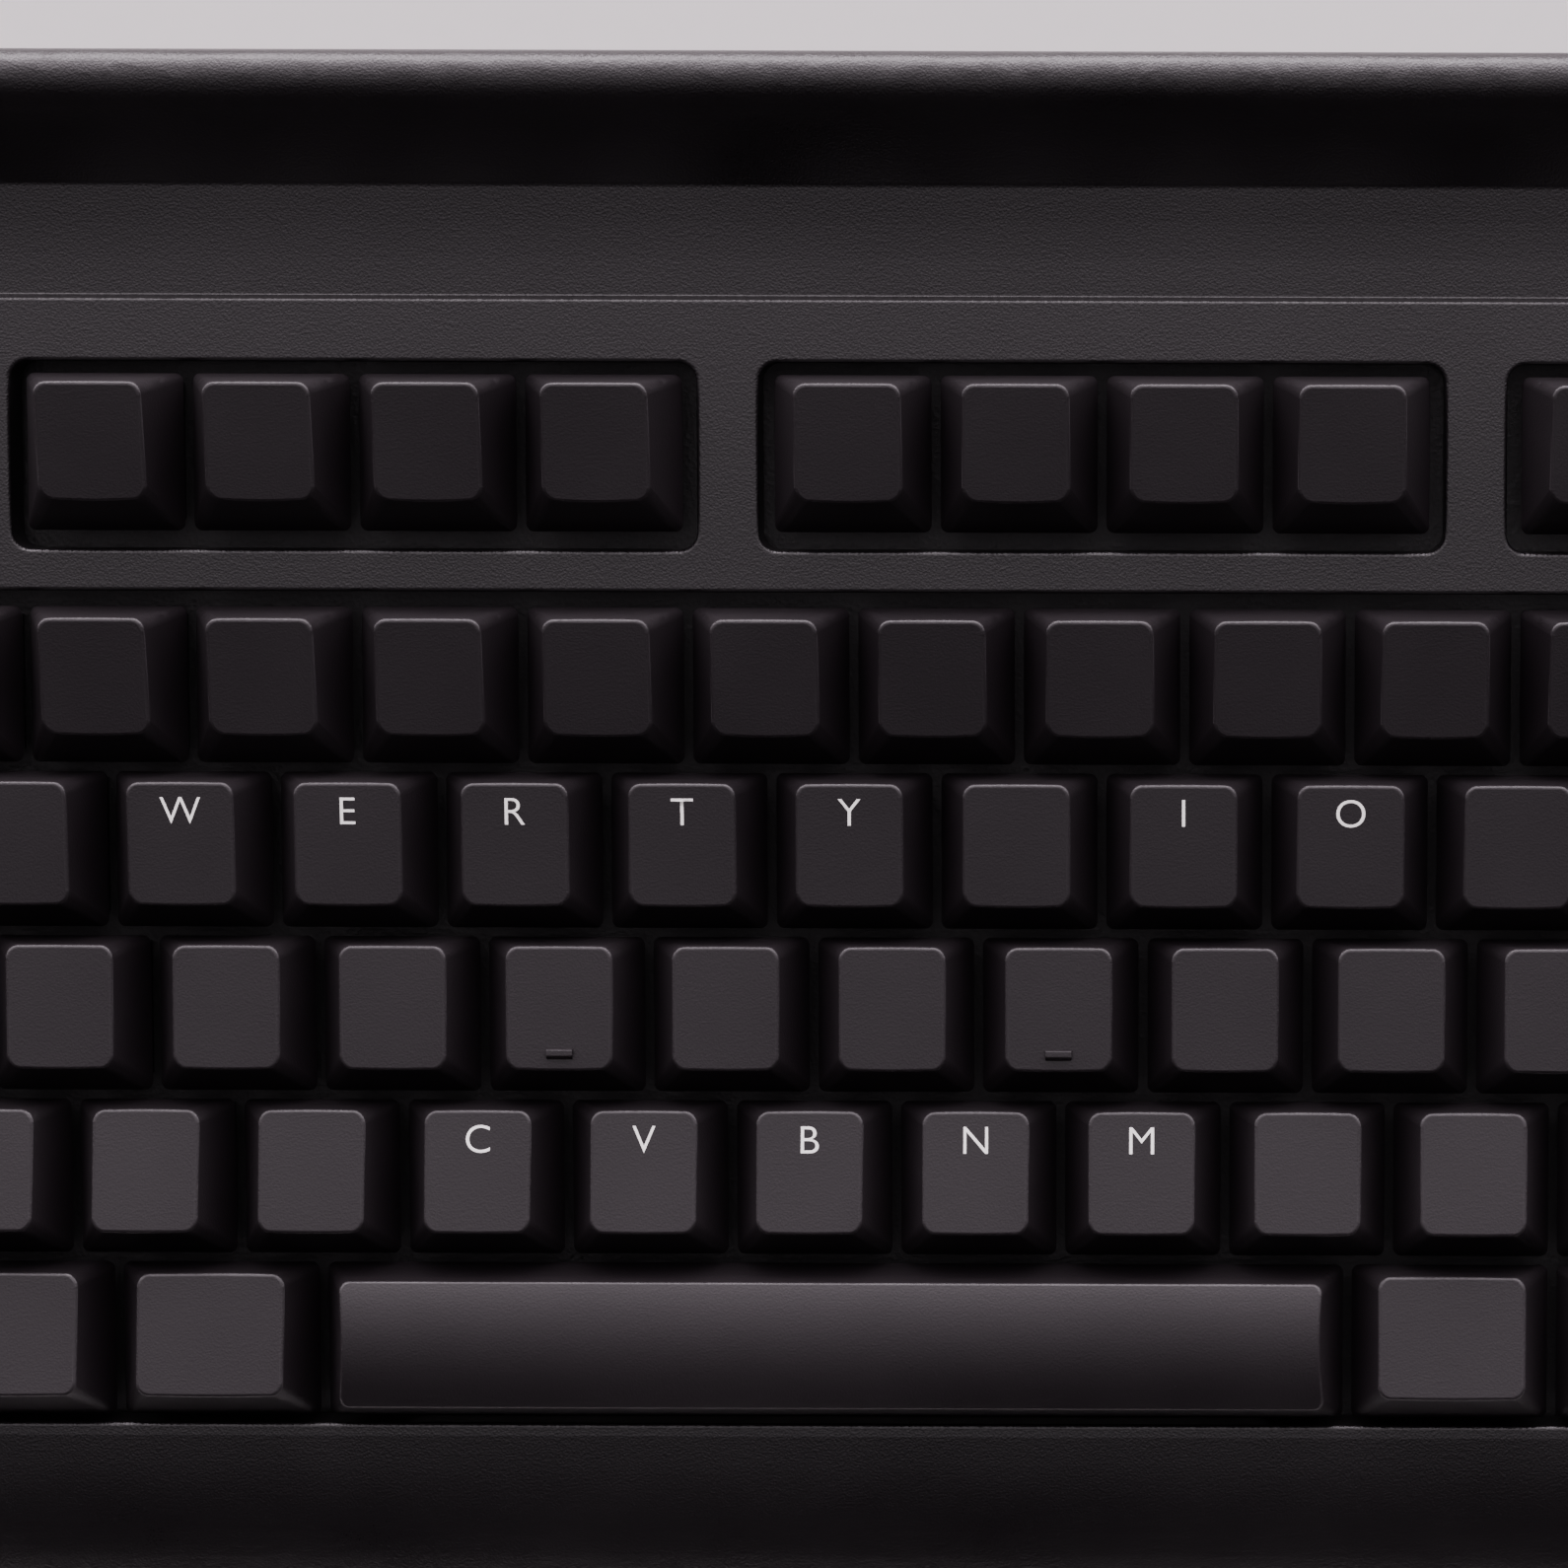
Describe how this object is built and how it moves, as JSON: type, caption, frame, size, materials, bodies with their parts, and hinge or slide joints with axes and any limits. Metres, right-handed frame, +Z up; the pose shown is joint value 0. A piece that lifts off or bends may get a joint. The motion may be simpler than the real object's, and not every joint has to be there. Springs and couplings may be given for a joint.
{
  "type": "mechanical keyboard",
  "caption": "Compact black mechanical keyboard without number pad: sculpted caps on separate key switches, raised rear ridge, folding rear feet.",
  "frame": {"origin": "on the desk under the middle of the case", "axes": "+X to the typist's right, +Y away from the typist, +Z up"},
  "size_m": [0.376, 0.1802, 0.0432],
  "materials": {
    "case_plastic": "fine spark-eroded grain",
    "keycap_plastic": "smooth satin, slightly worn tops",
    "zinc_steel": "zinc plated",
    "rubber": "matt",
    "plate_steel": "black powder coat",
    "board_laminate": "solder mask",
    "component_black": "moulded epoxy",
    "led_resin": "clear epoxy",
    "window_smoked": "smoked",
    "switch_black": "moulded nylon",
    "spring_steel": "bright drawn",
    "contact_brass": "bright",
    "socket_steel": "nickel plated",
    "lead_black": "matt PVC"
  },
  "bodies": {
    "chassis": {"top_case": "case_plastic", "bottom_case": "case_plastic", "case_and_plate_screws": "zinc_steel", "rubber_pads": "rubber", "mounting_plate": "plate_steel", "circuit_board": "board_laminate", "controller_electronics": "component_black", "status_leds": "led_resin", "status_window": "window_smoked", "switch_lower_housings": "switch_black", "switch_upper_housings": "switch_black", "switch_springs": "spring_steel", "switch_contacts": "contact_brass", "stabilizer_housings": "switch_black", "small_stabilizer_wires": "spring_steel", "usb_socket": "socket_steel", "usb_board": "board_laminate", "board_lead": "lead_black", "usb_board_screws": "zinc_steel"},
    "left_foot": {"left_foot": "case_plastic"},
    "right_foot": {"right_foot": "case_plastic"},
    "space_bar_wire": {"space_bar_wire": "spring_steel"},
    "space_bar": {"space_bar": "keycap_plastic"},
    "key_f": {"key_f": "keycap_plastic"},
    "key_t": {"key_t": "keycap_plastic"},
    "function_keys": {"function_keys": "keycap_plastic"},
    "number_keys": {"number_keys": "keycap_plastic"},
    "enter_key": {"enter_key": "keycap_plastic"},
    "left_modifier_keys": {"left_modifier_keys": "keycap_plastic"},
    "right_modifier_keys": {"right_modifier_keys": "keycap_plastic"},
    "arrow_keys": {"arrow_keys": "keycap_plastic"},
    "navigation_keys": {"navigation_keys": "keycap_plastic"},
    "escape_key": {"escape_key": "keycap_plastic"},
    "backspace_key": {"backspace_key": "keycap_plastic"},
    "system_keys": {"system_keys": "keycap_plastic"},
    "punctuation_keys": {"punctuation_keys": "keycap_plastic"},
    "key_q": {"key_q": "keycap_plastic"},
    "key_w": {"key_w": "keycap_plastic"},
    "key_e": {"key_e": "keycap_plastic"},
    "key_r": {"key_r": "keycap_plastic"},
    "key_y": {"key_y": "keycap_plastic"},
    "key_u": {"key_u": "keycap_plastic"},
    "key_i": {"key_i": "keycap_plastic"},
    "key_o": {"key_o": "keycap_plastic"},
    "key_p": {"key_p": "keycap_plastic"},
    "key_a": {"key_a": "keycap_plastic"},
    "key_s": {"key_s": "keycap_plastic"},
    "key_d": {"key_d": "keycap_plastic"},
    "key_g": {"key_g": "keycap_plastic"},
    "key_h": {"key_h": "keycap_plastic"},
    "key_j": {"key_j": "keycap_plastic"},
    "key_k": {"key_k": "keycap_plastic"},
    "key_l": {"key_l": "keycap_plastic"},
    "key_z": {"key_z": "keycap_plastic"},
    "key_x": {"key_x": "keycap_plastic"},
    "key_c": {"key_c": "keycap_plastic"},
    "key_v": {"key_v": "keycap_plastic"},
    "key_b": {"key_b": "keycap_plastic"},
    "key_n": {"key_n": "keycap_plastic"},
    "key_m": {"key_m": "keycap_plastic"}
  },
  "joints": [
    {"name": "left_foot_fold", "type": "hinge", "parent": "chassis", "child": "left_foot", "pos_m": [-0.138, 0.08, 0.0046], "axis": [1, 0, 0], "range_deg": [0, 100]},
    {"name": "right_foot_fold", "type": "hinge", "parent": "chassis", "child": "right_foot", "pos_m": [0.138, 0.08, 0.0046], "axis": [1, 0, 0], "range_deg": [0, 100]},
    {"name": "space_bar_press", "type": "slide", "parent": "chassis", "child": "space_bar", "axis": [0, 0.0872, -0.9962], "range_m": [0, 0.004], "stiffness_N_per_m": 100, "springref_m": -0.003, "deforming": ["switch_springs"]},
    {"name": "space_bar_wire_rock", "type": "hinge", "parent": "chassis", "child": "space_bar_wire", "pos_m": [0, -0.06632, 0.01631], "axis": [1, 0, 0], "range_deg": [-27.6, 0.2]},
    {"name": "key_f_press", "type": "slide", "parent": "chassis", "child": "key_f", "axis": [0, 0.0872, -0.9962], "range_m": [0, 0.004], "stiffness_N_per_m": 100, "springref_m": -0.003, "deforming": ["switch_springs"]},
    {"name": "key_t_press", "type": "slide", "parent": "chassis", "child": "key_t", "axis": [0, 0.0872, -0.9962], "range_m": [0, 0.004], "stiffness_N_per_m": 100, "springref_m": -0.003, "deforming": ["switch_springs"]},
    {"name": "function_keys_press", "type": "slide", "parent": "chassis", "child": "function_keys", "axis": [0, 0.0872, -0.9962], "range_m": [0, 0.004], "stiffness_N_per_m": 1200, "springref_m": -0.003, "deforming": ["switch_springs"]},
    {"name": "number_keys_press", "type": "slide", "parent": "chassis", "child": "number_keys", "axis": [0, 0.0872, -0.9962], "range_m": [0, 0.004], "stiffness_N_per_m": 1300, "springref_m": -0.003, "deforming": ["switch_springs"]},
    {"name": "enter_key_press", "type": "slide", "parent": "chassis", "child": "enter_key", "axis": [0, 0.0872, -0.9962], "range_m": [0, 0.004], "stiffness_N_per_m": 100, "springref_m": -0.003, "deforming": ["switch_springs"]},
    {"name": "left_modifier_keys_press", "type": "slide", "parent": "chassis", "child": "left_modifier_keys", "axis": [0, 0.0872, -0.9962], "range_m": [0, 0.004], "stiffness_N_per_m": 600, "springref_m": -0.003, "deforming": ["switch_springs"]},
    {"name": "right_modifier_keys_press", "type": "slide", "parent": "chassis", "child": "right_modifier_keys", "axis": [0, 0.0872, -0.9962], "range_m": [0, 0.004], "stiffness_N_per_m": 500, "springref_m": -0.003, "deforming": ["switch_springs"]},
    {"name": "arrow_keys_press", "type": "slide", "parent": "chassis", "child": "arrow_keys", "axis": [0, 0.0872, -0.9962], "range_m": [0, 0.004], "stiffness_N_per_m": 400, "springref_m": -0.003, "deforming": ["switch_springs"]},
    {"name": "navigation_keys_press", "type": "slide", "parent": "chassis", "child": "navigation_keys", "axis": [0, 0.0872, -0.9962], "range_m": [0, 0.004], "stiffness_N_per_m": 600, "springref_m": -0.003, "deforming": ["switch_springs"]},
    {"name": "escape_key_press", "type": "slide", "parent": "chassis", "child": "escape_key", "axis": [0, 0.0872, -0.9962], "range_m": [0, 0.004], "stiffness_N_per_m": 100, "springref_m": -0.003, "deforming": ["switch_springs"]},
    {"name": "backspace_key_press", "type": "slide", "parent": "chassis", "child": "backspace_key", "axis": [0, 0.0872, -0.9962], "range_m": [0, 0.004], "stiffness_N_per_m": 100, "springref_m": -0.003, "deforming": ["switch_springs"]},
    {"name": "system_keys_press", "type": "slide", "parent": "chassis", "child": "system_keys", "axis": [0, 0.0872, -0.9962], "range_m": [0, 0.004], "stiffness_N_per_m": 300, "springref_m": -0.003, "deforming": ["switch_springs"]},
    {"name": "punctuation_keys_press", "type": "slide", "parent": "chassis", "child": "punctuation_keys", "axis": [0, 0.0872, -0.9962], "range_m": [0, 0.004], "stiffness_N_per_m": 800, "springref_m": -0.003, "deforming": ["switch_springs"]},
    {"name": "key_q_press", "type": "slide", "parent": "chassis", "child": "key_q", "axis": [0, 0.0872, -0.9962], "range_m": [0, 0.004], "stiffness_N_per_m": 100, "springref_m": -0.003, "deforming": ["switch_springs"]},
    {"name": "key_w_press", "type": "slide", "parent": "chassis", "child": "key_w", "axis": [0, 0.0872, -0.9962], "range_m": [0, 0.004], "stiffness_N_per_m": 100, "springref_m": -0.003, "deforming": ["switch_springs"]},
    {"name": "key_e_press", "type": "slide", "parent": "chassis", "child": "key_e", "axis": [0, 0.0872, -0.9962], "range_m": [0, 0.004], "stiffness_N_per_m": 100, "springref_m": -0.003, "deforming": ["switch_springs"]},
    {"name": "key_r_press", "type": "slide", "parent": "chassis", "child": "key_r", "axis": [0, 0.0872, -0.9962], "range_m": [0, 0.004], "stiffness_N_per_m": 100, "springref_m": -0.003, "deforming": ["switch_springs"]},
    {"name": "key_y_press", "type": "slide", "parent": "chassis", "child": "key_y", "axis": [0, 0.0872, -0.9962], "range_m": [0, 0.004], "stiffness_N_per_m": 100, "springref_m": -0.003, "deforming": ["switch_springs"]},
    {"name": "key_u_press", "type": "slide", "parent": "chassis", "child": "key_u", "axis": [0, 0.0872, -0.9962], "range_m": [0, 0.004], "stiffness_N_per_m": 100, "springref_m": -0.003, "deforming": ["switch_springs"]},
    {"name": "key_i_press", "type": "slide", "parent": "chassis", "child": "key_i", "axis": [0, 0.0872, -0.9962], "range_m": [0, 0.004], "stiffness_N_per_m": 100, "springref_m": -0.003, "deforming": ["switch_springs"]},
    {"name": "key_o_press", "type": "slide", "parent": "chassis", "child": "key_o", "axis": [0, 0.0872, -0.9962], "range_m": [0, 0.004], "stiffness_N_per_m": 100, "springref_m": -0.003, "deforming": ["switch_springs"]},
    {"name": "key_p_press", "type": "slide", "parent": "chassis", "child": "key_p", "axis": [0, 0.0872, -0.9962], "range_m": [0, 0.004], "stiffness_N_per_m": 100, "springref_m": -0.003, "deforming": ["switch_springs"]},
    {"name": "key_a_press", "type": "slide", "parent": "chassis", "child": "key_a", "axis": [0, 0.0872, -0.9962], "range_m": [0, 0.004], "stiffness_N_per_m": 100, "springref_m": -0.003, "deforming": ["switch_springs"]},
    {"name": "key_s_press", "type": "slide", "parent": "chassis", "child": "key_s", "axis": [0, 0.0872, -0.9962], "range_m": [0, 0.004], "stiffness_N_per_m": 100, "springref_m": -0.003, "deforming": ["switch_springs"]},
    {"name": "key_d_press", "type": "slide", "parent": "chassis", "child": "key_d", "axis": [0, 0.0872, -0.9962], "range_m": [0, 0.004], "stiffness_N_per_m": 100, "springref_m": -0.003, "deforming": ["switch_springs"]},
    {"name": "key_g_press", "type": "slide", "parent": "chassis", "child": "key_g", "axis": [0, 0.0872, -0.9962], "range_m": [0, 0.004], "stiffness_N_per_m": 100, "springref_m": -0.003, "deforming": ["switch_springs"]},
    {"name": "key_h_press", "type": "slide", "parent": "chassis", "child": "key_h", "axis": [0, 0.0872, -0.9962], "range_m": [0, 0.004], "stiffness_N_per_m": 100, "springref_m": -0.003, "deforming": ["switch_springs"]},
    {"name": "key_j_press", "type": "slide", "parent": "chassis", "child": "key_j", "axis": [0, 0.0872, -0.9962], "range_m": [0, 0.004], "stiffness_N_per_m": 100, "springref_m": -0.003, "deforming": ["switch_springs"]},
    {"name": "key_k_press", "type": "slide", "parent": "chassis", "child": "key_k", "axis": [0, 0.0872, -0.9962], "range_m": [0, 0.004], "stiffness_N_per_m": 100, "springref_m": -0.003, "deforming": ["switch_springs"]},
    {"name": "key_l_press", "type": "slide", "parent": "chassis", "child": "key_l", "axis": [0, 0.0872, -0.9962], "range_m": [0, 0.004], "stiffness_N_per_m": 100, "springref_m": -0.003, "deforming": ["switch_springs"]},
    {"name": "key_z_press", "type": "slide", "parent": "chassis", "child": "key_z", "axis": [0, 0.0872, -0.9962], "range_m": [0, 0.004], "stiffness_N_per_m": 100, "springref_m": -0.003, "deforming": ["switch_springs"]},
    {"name": "key_x_press", "type": "slide", "parent": "chassis", "child": "key_x", "axis": [0, 0.0872, -0.9962], "range_m": [0, 0.004], "stiffness_N_per_m": 100, "springref_m": -0.003, "deforming": ["switch_springs"]},
    {"name": "key_c_press", "type": "slide", "parent": "chassis", "child": "key_c", "axis": [0, 0.0872, -0.9962], "range_m": [0, 0.004], "stiffness_N_per_m": 100, "springref_m": -0.003, "deforming": ["switch_springs"]},
    {"name": "key_v_press", "type": "slide", "parent": "chassis", "child": "key_v", "axis": [0, 0.0872, -0.9962], "range_m": [0, 0.004], "stiffness_N_per_m": 100, "springref_m": -0.003, "deforming": ["switch_springs"]},
    {"name": "key_b_press", "type": "slide", "parent": "chassis", "child": "key_b", "axis": [0, 0.0872, -0.9962], "range_m": [0, 0.004], "stiffness_N_per_m": 100, "springref_m": -0.003, "deforming": ["switch_springs"]},
    {"name": "key_n_press", "type": "slide", "parent": "chassis", "child": "key_n", "axis": [0, 0.0872, -0.9962], "range_m": [0, 0.004], "stiffness_N_per_m": 100, "springref_m": -0.003, "deforming": ["switch_springs"]},
    {"name": "key_m_press", "type": "slide", "parent": "chassis", "child": "key_m", "axis": [0, 0.0872, -0.9962], "range_m": [0, 0.004], "stiffness_N_per_m": 100, "springref_m": -0.003, "deforming": ["switch_springs"]}
  ],
  "couplings": [
    {"joint": "space_bar_wire_rock", "follows": "space_bar_press", "rad_per_m": -119.9}
  ]
}
